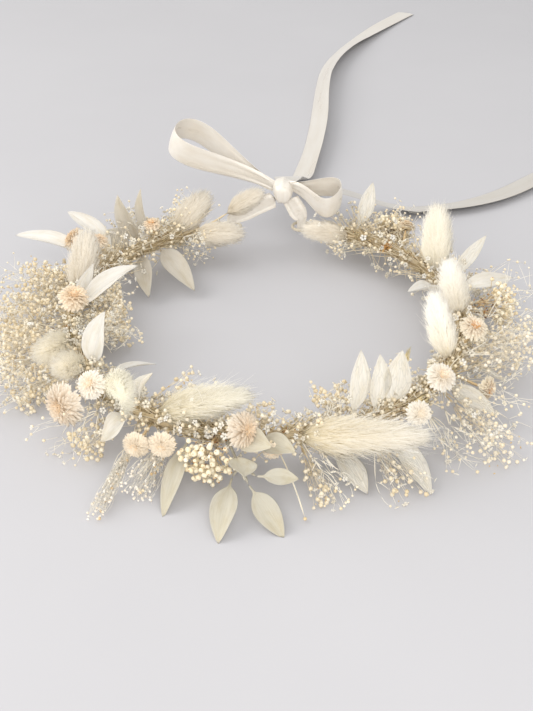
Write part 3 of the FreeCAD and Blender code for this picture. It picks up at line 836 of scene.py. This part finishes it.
def rice_flower(node):
    """A crowded head of round pale buds on short branching stems, with dark bits in its heart."""
    rng = seeded(node)
    growth = Growth()
    for head in heads_of(node):
        layers = []
        for scale, count in ((1.0, 48), (0.78, 32), (0.55, 18)):
            polar = np.arccos(1 - (1 - math.cos(math.radians(86))) * (np.arange(count) + 0.5) / count)
            out = head.out(np.arange(count) * GOLDEN + scale * 3)
            centre = head.root + head.axis * (head.length - head.radius * 1.15)
            ray = head.axis * np.cos(polar)[:, None] * 1.1 + out * np.sin(polar)[:, None] * 1.18
            layers.append(centre + ray * head.radius * scale + rng.normal(size=(count, 3)) * 0.7)
        ends = np.concatenate(layers)
        ends[:, 2] = np.maximum(ends[:, 2], 1.3)
        ends, aims = forked(growth, rng, head, ends, 4, 4, 0.5, (TAN, CREAM), 1, 0.04, 2)
        add_beads(growth, rng, ends, aims, 1.12, RICE_TONES, 0, sides=8)
        tufts = ends + aims * 0.85
        add_beads(growth, rng, tufts, aims, 0.34, (RUST, STRAW), 0, (40, 44))
        bits = head.root + head.axis * rng.uniform(0.15, 0.62, (34, 1)) * head.length
        bits = bits + rng.normal(size=(34, 3)) * head.radius * 0.34
        add_bits(growth, rng, bits, 3.2, 0.32, (DARK, RUST), 1)
    piece = growth.piece(node + "_buds", [bud_skin, stem_skin])
    settle(piece, "rice_flower", node)


AIRY_TWIGS = {      # long bare sprays beyond the dense ones: hoop angle, far end, spread and twigs
    "gypsophila_right": (
        (58, (122, -36, 22), 15, 48), (56, (108, -84, 9), 12, 48), (76, (132, 6, 20), 16, 72),
        (96, (130, 34, 12), 12, 36), (144, (58, 102, 16), 8, 72), (150, (34, 72, 10), 8, 48),
        (136, (78, 92, 22), 9, 72)),
    "gypsophila_front": (
        (44, (89, -104, 6), 10, 48), (24, (60, -120, 5), 9, 36), (8, (32, -124, 4), 6, 24),
        (-8, (-34, -76, 30), 9, 36), (-44, (-92, -96, 6), 12, 36),
        (14, (28, -78, 30), 9, 36), (40, (52, -62, 30), 8, 36)),
    "gypsophila_left": (
        (-62, (-131, -52, 6), 14, 72), (-84, (-139, -8, 8), 14, 72), (-108, (-134, 40, 8), 12, 72),
        (-70, (-62, -20, 26), 10, 72), (-100, (-66, 24, 24), 10, 36),
        (-146, (-42, 102, 26), 9, 72), (-150, (-32, 70, 10), 9, 72), (-136, (-80, 88, 22), 9, 72)),
}


def airy_twigs(growth, buds, rng, node):
    """Loose twigs that stand out past the dense sprays, with small tan and white buds."""
    for angle, tip, spread, count in AIRY_TWIGS[node]:
        spray = Spray(round_hoop(angle), tip, spread)
        ends = spray_ends(rng, spray, count, 0.45, 1.5)
        ends, aims = forked(growth, rng, spray, ends, 3, 4, 0.34, (IVORY, WHITE), 1, 0.05, 2, 0.20)
        opened = rng.random(len(ends)) < 0.25
        add_rosettes(buds, rng, ends[opened], aims[opened], 1.1, (IVORY, WHITE), 0)
        add_beads(buds, rng, ends[~opened], aims[~opened], 0.66, (CREAM, IVORY), 0)


def gypsophila(node, count, bud, open_share, tones=BUD_TONES):
    """Airy branching twigs that end in round buds and tiny open flowers."""
    rng = seeded(node)
    growth = Growth()
    buds = Growth()
    airy_twigs(growth, buds, rng, node)
    for head in heads_of(node):
        number = max(36, int(count * head.radius / 6 / 36) * 36)
        ends = spray_ends(rng, head, number, 0.24, SPRAY_WIDENING)
        ends, aims = forked(growth, rng, head, ends, 4, 3, 0.24, (STRAW, WHITE), 1)
        opened = rng.random(len(ends)) < open_share
        add_rosettes(buds, rng, ends[opened], aims[opened], bud * 1.4, (IVORY, WHITE), 0)
        add_beads(buds, rng, ends[~opened], aims[~opened], bud, tones, 0)
        dry = spray_ends(rng, head, number // 5, 0.2, SPRAY_WIDENING)
        add_bits(growth, rng, dry, 1.6, 0.3, (STRAW, TAN), 1)
    piece = growth.piece(node + "_twigs", [bud_skin, stem_skin])
    settle(piece, "gypsophila", node)
    soften(buds, node + "_buds", bud_skin, piece)


def broom(node):
    """A fan of very fine white filaments with a few tan buds."""
    rng = seeded(node)
    growth = Growth()
    buds = Growth()
    for head in heads_of(node):
        ends = spray_ends(rng, head, 216, 0.4, 2.0, 0.4)
        ends, aims = forked(growth, rng, head, ends, 6, 6, 0.20, (IVORY, WHITE), 1, 0.09, 3, 0.22)
        some = rng.random(len(ends)) < 0.4
        add_beads(buds, rng, ends[some], aims[some], 0.55, (PALE_PEACH, WHITE), 0)
        add_beads(buds, rng, ends[~some][:10], aims[~some][:10], 0.7, (TAN, CREAM), 0, (40, 44))
    piece = growth.piece(node + "_filaments", [bud_skin, stem_skin])
    settle(piece, "broom", node)
    soften(buds, node + "_buds", bud_skin, piece)


# Leaves


class Blade:
    """A leaf solid: its root, tip, half-width and the way its flat faces look."""

    def __init__(self, points, lean):
        middle = points.mean(0)
        long_way = np.linalg.svd(points - middle)[2][0]
        along = (points - middle) @ long_way
        ends = [points[along < along.min() + 1.2], points[along > along.max() - 1.2]]
        ends.sort(key=len)
        self.root = ends[1].mean(0)
        reach = np.linalg.norm(points - self.root, axis=1)
        self.tip = points[reach.argmax()]
        self.length = reach.max()
        self.axis = unit(self.tip - self.root)
        along = (points - self.root) @ self.axis
        off = points - self.root - along[:, None] * self.axis
        wide = off[np.linalg.norm(off, axis=1).argmax()]
        self.half = np.linalg.norm(wide)
        self.across = unit(wide)
        self.normal = np.cross(self.axis, self.across)
        self.normal = self.normal * (1 if self.normal[2] >= 0 else -1)
        if any(lean):
            self.normal = self.normal * (1 if self.normal @ lean >= 0 else -1) + lean
            self.normal = unit(self.normal - self.axis * (self.normal @ self.axis))
            self.across = np.cross(self.normal, self.axis)


def add_leaf(growth, rng, blade, look, cell):
    """A blade with a midrib, a petiole, drooping or curling tip and uneven edges."""
    colour, edge, bow, curl, cup, fold, twist = look
    stations = 22
    share = np.linspace(0, 1, stations)
    bend = blade.normal * bow * blade.length
    path = bent(blade.root[None], blade.tip[None], bend[None], stations)
    path = path + blade.normal * (curl * blade.length * share ** 4)[:, None]
    body = np.clip((share - 0.17) / 0.83, 0, 1)
    broad = np.sin(np.pi * body ** 0.86) ** 0.85 * (1 - 0.12 * body)
    width = np.maximum(blade.half * 1.04 * broad, 0.45 * (share < 0.9))
    turn = (twist * (share - 0.4) + rng.normal() * 0.1)[:, None]
    facing = blade.normal * np.cos(turn) + blade.across * np.sin(turn)
    wave = rng.uniform(0, 6.28, 2)

    def relief(x):
        ripple = np.sin(share[:, None] * 9 + wave[0] + x * 1.3) * 0.05
        ripple = ripple + np.sin(share[:, None] * 17 + wave[1]) * 0.02
        rib = -np.exp(-(x / 0.16) ** 2) * 0.05
        return ((ripple * np.abs(x) + rib) * width[:, None])[None]

    shade = colour * rng.uniform(0.95, 1.04)
    tint = mixed(shade, edge, share ** 3)
    depth = 0.14 + 0.2 * (share < 0.2)
    growth.add(path, facing[None], width, depth, tint, cell, 20, cup, fold, relief=relief)


def add_sprig(growth, rng, blades, colour):
    """The stem that leaves share where they stand off the hoop, with a side stem to each of them."""
    roots = np.array([blade.root for blade in blades])
    centre = roots.mean(0)
    angle = np.degrees(np.arctan2(centre[0], -centre[1]))
    gap = np.hypot(np.hypot(roots[:, 0], roots[:, 1]) - HOOP_RADIUS, roots[:, 2] - HOOP_HEIGHT)
    if gap.max() < SPRIG_GAP:
        return
    foot = round_hoop(angle - 7)
    middle = centre * 0.75 + foot * 0.25
    start = np.concatenate([foot[None], np.repeat(middle[None], len(roots), 0)])
    end = np.concatenate([middle[None], roots])
    reach = np.linalg.norm(end - start, axis=1)[:, None]
    path = bent(start, end, UP * reach * 0.08, 7)
    radius = np.linspace(0.75, 0.5, 7)
    growth.add(path, rng.normal(size=(len(start), 1, 3)), radius, radius, colour * 0.9, 12, 6)


def add_lone_stem(growth, rng):
    """The bare stem beside the front sprig, with its little round end."""
    start = np.array([(3.0, -96.0, 13.0)])
    end = np.array([(15.0, -128.6, 1.6)])
    path = bent(start, end, np.array([(0.6, 0.0, 1.5)]), 9)
    growth.add(path, UP, 0.34, 0.34, IVORY, 13, 6)
    add_beads(growth, rng, end, unit(end - start), 1.0, (STRAW, STRAW), 0, (14, 15))


# A leaf's colour, edge colour, bow, tip curl, cup, fold and twist
MATTE = (np.array(LEAF), LEAF_EDGE, 0.05, -0.03, 0.12, 0.16, 0.25)
VEILED = (np.array(VEIL), IVORY, 0.06, 0.03, 0.18, 0.10, 0.3)
CHALK = (np.array(WHITE) * 0.78, np.array(WHITE) * 0.74, 0.12, 0.06, 0.4, 0.4, 0.9)
CURLED = (np.array(WHITE) * 0.8, np.array(IVORY) * 0.8, 0.14, 0.10, 0.5, 0.4, 2.2)
STARRY = (np.array(STAR_LEAF), np.array(IVORY) * 0.6, 0.08, -0.03, 0.2, 0.2, 0.3)
LEAF_LOOKS = {
    "leaf_sprig_front": MATTE,
    "leaf_pair_front": MATTE,
    "leaf_front_low": MATTE,
    "curled_leaves_front_left": CURLED,
    "upright_leaves_front": VEILED,
    "leaves_under_front_right": VEILED,
    "white_leaves_left": CHALK,
    "leaf_pair_left": CHALK,
    "outer_leaves_left": CHALK,
    "leaf_star_back_left": STARRY,
    "low_leaves_right": VEILED,
    "leaves_right": CHALK,
    "upright_leaves_back_right": VEILED,
}
LEAF_LEAN = {       # leaves that turn their faces forwards
    "leaf_star_back_left": (0, -0.9, 0.5),
    "outer_leaves_left": (0, -0.7, 0.6),
    "upright_leaves_back_right": (0, -0.9, 0.4),
    "upright_leaves_front": (0, -0.5, 0.2),
}


def leaves(node):
    """A group of bleached leaves; veiled ones are skeleton leaves that light shows through."""
    rng = seeded(node)
    look = LEAF_LOOKS[node]
    skin = clear_leaf_skin if look is VEILED else leaf_skin
    growth = Growth(4)
    blades = [Blade(points, np.array(LEAF_LEAN.get(node, (0, 0, 0)))) for points in solids_of(node)]
    for cell, blade in enumerate(blades):
        add_leaf(growth, rng, blade, look, cell)
    add_sprig(growth, rng, blades, look[0])
    if node == "leaf_sprig_front":
        add_lone_stem(growth, rng)
    piece = growth.piece(node + "_blades", [skin])
    settle(piece, "bleached_leaf", node)


# Bound hoop


def chaff(growth, rng, start, end, count):
    """Short stems, buds and flecks that stand out of the binding all along it."""
    angle = start + (end - start) * rng.random(count)
    lean = rng.uniform(-0.5, np.pi + 0.5, count)
    middle = round_hoop(angle)
    out = unit(round_hoop(angle, 1, 0))
    ray = out * np.cos(lean)[:, None] + UP * np.sin(lean)[:, None]
    along = unit(round_hoop(angle + 90, 1, 0)) * rng.choice((-1, 1), (count, 1))
    foot = middle + ray * 2.2
    reach = rng.uniform(1.5, 9.0, (count, 1)) * (1 + 0.8 * (np.abs(angle) > 112))[:, None]
    tip = foot + (ray + along * rng.uniform(0.4, 1.6, (count, 1))) * reach
    tip[:, 2] = np.maximum(tip[:, 2], 1.2)
    add_stalk(growth, rng, foot, tip, 0.20, 0.12, (STRAW, IVORY), 1, 48, 4)
    budded = rng.random(count) < 0.72
    opened = budded & (rng.random(count) < 0.35)
    budded = budded & ~opened
    aims = unit(tip - foot)
    add_rosettes(growth, rng, tip[opened], aims[opened], 1.5, (IVORY, WHITE), 2)
    add_beads(growth, rng, tip[budded], aims[budded], 0.85, (CREAM, IVORY), 2)
    add_bits(growth, rng, (foot + ray * 1.2)[~budded], 4.0, 0.42, (OLIVE, STRAW), 1)
    dark = foot[rng.random(count) < 0.12]
    add_bits(growth, rng, dark + (0, 0, 1.2), 2.6, 0.3, (DARK, RUST), 1, (40, 44))


RUST_SPOTS = ((74.0, 81.0, 18.0), (64.0, 62.0, 17.0))       # dry rust-coloured bracts at the back right


def laid_stems(growth, rng, side, count):
    """Straws bound in along the hoop, each over a short stretch of it."""
    length = rng.uniform(9, 26, count)
    start = rng.uniform(1, TAPE_END - 2, count)
    stop = np.minimum(start + length, TAPE_END - 1)
    share = np.linspace(0, 1, 9)
    angle = side * (start[:, None] + (stop - start)[:, None] * share)
    around = rng.uniform(0, 2 * np.pi, count)[:, None] + rng.uniform(-1.2, 1.2, (count, 1)) * share
    off = 2.9 + rng.uniform(-0.2, 0.6, (count, 1)) + 1.6 * (2 * share - 1) ** 4 * rng.random((count, 1))
    path = round_hoop(angle, HOOP_RADIUS + off * np.cos(around), HOOP_HEIGHT + off * np.sin(around))
    girth = rng.uniform(0.22, 0.5, (count, 1)) * np.array((0, 0.9, 1, 1, 1, 1, 1, 0.8, 0))
    tone = rng.integers(0, 8, count)
    tint = mixed(*STRAW_TONES, tone / 7)[:, None]
    growth.add(path, UP, girth, girth, tint, tone, 6, slot=1)


def bound_hoop(side, name, nodes):
    """One side of the hoop: stems bound with crinkled tape, and the stubs that stand out of it."""
    rng = seeded(name)
    growth = Growth()
    angle = np.linspace(0, side * TAPE_END, HOOP_STATIONS)
    path = round_hoop(angle)[None]
    wraps = np.abs(angle)[:, None] * 1.1

    def relief(x):
        turn = np.arange(len(x)) / len(x)
        layer = (wraps + turn) % 1.0
        stems = np.sin(turn * 6.28 * 5 + wraps * 0.11) * 0.18
        return (layer * 0.30 - 0.15 + stems + rng.normal(size=(HOOP_STATIONS, len(x))) * 0.03)[None]

    tone = 0.5 + 0.5 * np.sin(np.radians(angle) * 11)
    tint = mixed(*TAPE_TONES, tone)
    growth.add(path, UP, HOOP_CORE, HOOP_CORE, tint, 62, 18, relief=relief)
    laid_stems(growth, rng, side, STRAW_COUNT)
    chaff(growth, rng, side * 1.0, side * (TAPE_END - 3), CHAFF_COUNT)
    if side > 0:
        for spot in RUST_SPOTS:
            bits = np.array(spot) + rng.normal(size=(26, 3)) * 1.8
            add_bits(growth, rng, bits, 5.0, 0.7, (RUST, PALE_RUST), 1)
    piece = growth.piece(name, [tape_skin, stem_skin, bud_skin])
    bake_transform(piece)
    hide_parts(*nodes)


def stem_bundle():
    """The bound stems at the front right, with straight straws and dark flecks."""
    rng = seeded("stem_bundle")
    growth = Growth()
    for points in solids_of("stem_bundle"):
        middle = points.mean(0)
        reach = points - middle
        axis = unit(np.linalg.svd(reach)[2][0])
        along = reach @ axis
        radius = np.linalg.norm(reach - along[:, None] * axis, axis=1).max()
        side, other = square_to(axis)
        many = int(7 + radius * 12)
        turn = np.arange(many) * GOLDEN
        off = radius * 0.85 * np.sqrt((np.arange(many) + 0.5) / many)[:, None]
        lay = (np.cos(turn)[:, None] * side + np.sin(turn)[:, None] * other) * off
        overrun = rng.uniform(-1.5, 2.0, (many, 2))
        start = middle + lay + axis * (along.min() - overrun[:, :1])
        end = middle + lay * 1.2 + axis * (along.max() + overrun[:, 1:])
        add_stalk(growth, rng, start, end, 0.42, 0.34, (STRAW, PALE_STRAW), 0)
        flecks = 20 if radius > 2 else 0
        spot = middle + axis * rng.uniform(along.min(), along.max(), (flecks, 1))
        spot = spot + rng.normal(size=(flecks, 3)) * radius * 0.6
        add_bits(growth, rng, spot, 2.8, 0.36, (DARK, OLIVE), 0)
    piece = growth.piece("bound_stem_bundle", [stem_skin])
    settle(piece, "dried_stem", "stem_bundle")


# Ribbon


def satin_strip(name, path, facing, width, relief, sides=24, tint=SATIN):
    """A ribbon along a path: thin, with a lens-shaped section that ends in fine edges."""
    growth = Growth(1)
    growth.add(path[None], facing[None], width, RIBBON_HALF_DEPTH, tint, 0, sides, relief=relief)
    return growth.piece(name, [satin])


def bow_loop(name, node, start, end, radius, level, fullness):
    """One loop: out from the knot, round its open end and back, gathered where it starts."""
    start = np.array(start)
    reach = np.array(end) - start
    along = unit(reach)
    across = unit(np.array(level) - along * (np.array(level) @ along))
    wide = np.cross(along, across)
    share = np.linspace(0, 1, 90)
    turn = 2 * np.pi * share
    out = np.linalg.norm(reach) * np.sin(turn / 2) ** 1.15
    over = -np.sin(turn) * (1 - np.cos(turn)) ** 0.75 * radius * fullness
    path = start + out[:, None] * along + over[:, None] * across
    slope = unit(np.gradient(path, axis=0))
    facing = np.cross(slope, wide)
    near = np.clip(np.minimum(share, 1 - share) / 0.30, 0, 1)
    width = GATHERED + (RIBBON_WIDTH / 2 - 1.0 - GATHERED) * np.sin(near * np.pi / 2)

    def relief(x):
        pleats = np.cos(x * 9.5)[None] * 0.9 * (1 - near)[:, None] ** 1.5
        crown = (1 - x[None] ** 2) * 0.5 * near[:, None]
        return (pleats + crown)[None]

    piece = satin_strip(name, path, facing, width, relief)
    settle(piece, "satin_ribbon", node)


def bow_knot():
    """The band of ribbon drawn round the middle of the bow, in soft upright creases."""
    rng = seeded("bow_knot")
    growth = Growth(1)
    stations = 40
    share = np.linspace(0, 1, stations)
    path = (KNOT + np.array((0, 1, 0)) * (share[:, None] - 0.5) * KNOT_LENGTH)[None]
    round_end = np.clip(np.sin(np.pi * share), 0, 1) ** 0.22
    phase = rng.uniform(0, 6.28, 3)

    def relief(x):
        around = np.arange(len(x)) / len(x) * 2 * np.pi
        creases = np.sin(x[None] * 7.5 + phase[0] + share[:, None] * 3) * 0.55
        lump = np.sin(around * 2 + phase[2])[None] * 0.5
        return ((creases + lump) * np.sin(np.pi * share)[:, None])[None]

    growth.add(path, UP, 5.6 * round_end, 6.6 * round_end, SATIN, 0, 40, relief=relief)
    piece = growth.piece("bow_knot_band", [satin])
    settle(piece, "satin_ribbon", "bow_knot")


def ribbon_tie(side, name, node):
    """The ribbon drawn from the knot down through an eyelet, gathered narrow."""
    eye = round_hoop(side * EYELET_ANGLE)
    low = eye + np.array((0, 0, -2.6))
    high = eye + np.array((0, 0, 4.0))
    top = KNOT + np.array((side * 4.0, -2.0, -4.0))
    share = np.linspace(0, 1, 30)[:, None]
    corner = high + (0, 0, 2.0)
    curve = (1 - share) ** 2 * high + 2 * share * (1 - share) * corner + share ** 2 * top
    path = np.concatenate([low + (high - low) * np.linspace(0, 0.9, 6)[:, None], curve])
    steps = np.linspace(0, 1, len(path))
    width = 2.4 + 3.4 * np.clip((steps - 0.15) / 0.5, 0, 1) * (1 - 0.35 * steps)

    def relief(x):
        return (np.cos(x * 9.0)[None] * width[:, None] * 0.17)[None]

    slope = unit(np.gradient(path, axis=0))
    facing = np.cross(slope, np.broadcast_to((1.0, 0.0, 0.0), path.shape))
    facing = facing + np.cross(slope, UP) * np.clip(steps - 0.3, 0, 1)[:, None] * side
    piece = satin_strip(name, path, facing, width, relief, 20)
    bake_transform(piece)
    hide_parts(node)


def route(name, points):
    """The smooth line through a ribbon's route, as points read from its NURBS spline."""
    curve = bpy.data.curves.new(name + "_route", "CURVE")
    curve.dimensions = "3D"
    curve.resolution_u = 24
    spline = curve.splines.new("NURBS")
    spline.points.add(len(points) - 1)
    for point, place in zip(spline.points, points):
        point.co = (place[0] * MM, place[1] * MM, place[2] * MM, 1)
    spline.order_u = 3
    spline.use_endpoint_u = True
    holder = bpy.data.objects.new(name + "_route", curve)
    mesh = bpy.data.meshes.new_from_object(holder)
    line = np.array([vertex.co for vertex in mesh.vertices]) / MM
    bpy.data.objects.remove(holder)
    bpy.data.meshes.remove(mesh)
    return line


def ribbon_tail(name, points, roll, shade):
    """A free end of the ribbon: gathered at the knot, then flat, rolling a little on its way. Its satin
    colour is scaled by a painted shade factor.
    """
    line = route(name, points)
    steps = np.concatenate([[0], np.cumsum(np.linalg.norm(np.diff(line, axis=0), axis=1))])
    share = steps / steps[-1]
    slope = unit(np.gradient(line, axis=0))
    level = unit(np.cross(slope, UP))
    turn = np.radians(np.interp(share, *roll))[:, None]
    wide = level * np.cos(turn) + UP * np.sin(turn)
    near = np.clip(steps / GATHER_LENGTH, 0, 1)
    width = TAIL_GATHERED + (RIBBON_WIDTH / 2 - TAIL_GATHERED) * np.sin(near * np.pi / 2)
    lifted = line.copy()
    lowest = line[:, 2] - width * np.abs(wide[:, 2])
    lifted[:, 2] = line[:, 2] + np.maximum(0.3 - lowest, 0)

    def relief(x):
        pleats = np.cos(x * 9.0)[None] * 0.6 * (1 - near)[:, None]
        sway = np.sin(share * 23)[:, None] * x[None] * 0.35 * near[:, None]
        return (pleats + sway)[None]

    facing = np.cross(slope, wide)
    piece = satin_strip(name, lifted, facing, width, relief, tint=np.array(SATIN) * shade)
    settle(piece, "satin_ribbon", name.replace("_satin", ""))


# The whole crown


def ribbons():
    bow_knot()
    bow_loop("bow_loop_left_satin", "bow_loop_left", (5.5, 97, 35), (-51, 116, 59), 14,
             (0.32, 0.95, 0.1), 0.72)
    bow_loop("bow_loop_right_satin", "bow_loop_right", (12, 96, 37), (39, 82.5, 34.5), 9,
             (0.38, 0.90, 0.3), 0.8)
    ribbon_tie(-1, "ribbon_tie_left_satin", "ribbon_tie_left")
    ribbon_tie(1, "ribbon_tie_right_satin", "ribbon_tie_right")
    back_roll = ((0, 0.12, 0.3, 0.55, 0.8, 1), (0, 14, 36, 44, 14, 0))
    side_roll = ((0, 0.2, 0.5, 1), (0, 14, 10, 0))
    # The tails' satin is painted darker than the loops' as shade: the back tail a little, the side tail
    # more.
    ribbon_tail("ribbon_tail_back_satin", TAIL_BACK, back_roll, 0.76)
    ribbon_tail("ribbon_tail_side_satin", TAIL_SIDE, side_roll, 0.62)


def plants():
    for node in sorted(frame["nodes"]):
        if node.startswith("bunny_tail"):
            bunny_tail(node)
        elif node.startswith("strawflower"):
            strawflowers(node)
        elif node.startswith("rice_flower"):
            rice_flower(node)
        elif node in LEAF_LOOKS:
            leaves(node)
    gypsophila("gypsophila_front", 80, 0.95, 0.15)
    gypsophila("gypsophila_left", 230, 0.90, 0.25)
    gypsophila("gypsophila_right", 110, 0.85, 0.2, FAIR_BUD_TONES)
    broom("broom_front_left")


def hoop():
    bound_hoop(-1, "bound_hoop_left", ("stem_tape_front", "stem_tape_left"))
    bound_hoop(1, "bound_hoop_right", ("stem_tape_right",))
    stem_bundle()
    for node in ("hoop_wire_front", "hoop_wire_left", "hoop_wire_right", "eyelet_left", "eyelet_right"):
        for slot in frame["nodes"][node].material_slots:
            slot.material = wire_skin


# Stage


def floor():
    """A pale lilac-grey surface with a barely visible grain, painted a little darker further back as
    light falloff.
    """
    paint = Paint("pale_surface", 0.6, specular_ior_level=0.3)
    where = paint.node("TexCoord").outputs["Object"]
    grain = paint.ramp(paint.noise(where, 3.0, 4.0, 0.6), FLOOR_GRAIN)
    apart = paint.node("SeparateXYZ")
    paint.link(where, apart.inputs["Vector"])
    # Painted light falloff: the floor's colour darkens from front to back.
    far = paint.node("MapRange")
    far.inputs["From Min"].default_value = PAINTED_FALLOFF_START
    far.inputs["From Max"].default_value = PAINTED_FALLOFF_END
    paint.link(apart.outputs["Y"], far.inputs["Value"])
    paint.colour(paint.blend(grain, paint.ramp(far.outputs["Result"], FLOOR_PAINTED_FALLOFF)))
    mesh = bpy.data.meshes.new("surface")
    corners = [(x * FLOOR_HALF, y * FLOOR_HALF, 0) for x, y in ((-1, -1), (1, -1), (1, 1), (-1, 1))]
    mesh.from_pydata(corners, [], [(0, 1, 2, 3)])
    mesh.materials.append(paint.material)
    surface = add_object("surface", mesh)


def area_light(name, place, size, power):
    """A square light at a place, facing the origin."""
    light = bpy.data.lights.new(name, "AREA")
    light.size = size
    light.energy = power
    light.color = DAYLIGHT
    holder = add_object(name, light)
    holder.location = place
    x, y, z = place
    holder.rotation_euler = (math.atan2(math.hypot(x, y), z), 0, math.atan2(x, -y))


def studio():
    floor()
    area_light("window", (-1.6, 0.5, 1.25), 1.5, 25.5)
    area_light("fill", (0.1, -1.5, 0.75), 1.5, 19.5)
    world = bpy.data.worlds.new("studio")
    world.use_nodes = True
    sky = world.node_tree.nodes["Background"]
    sky.inputs["Color"].default_value = (1.0, 0.99, 0.97, 1)
    sky.inputs["Strength"].default_value = 0.885
    bpy.context.scene.world = world
    bpy.context.scene.view_settings.view_transform = "Standard"


def camera():
    lens = bpy.data.cameras.new("camera")
    lens.lens = LENS
    lens.sensor_width = 36
    lens.clip_start = 0.01
    holder = add_object("camera", lens)
    holder.location = CAMERA_PLACE
    holder.rotation_euler = (math.radians(90 - CAMERA_TILT), 0, 0)
    bpy.context.scene.camera = holder


camera()
studio()
ribbons()
hoop()
plants()
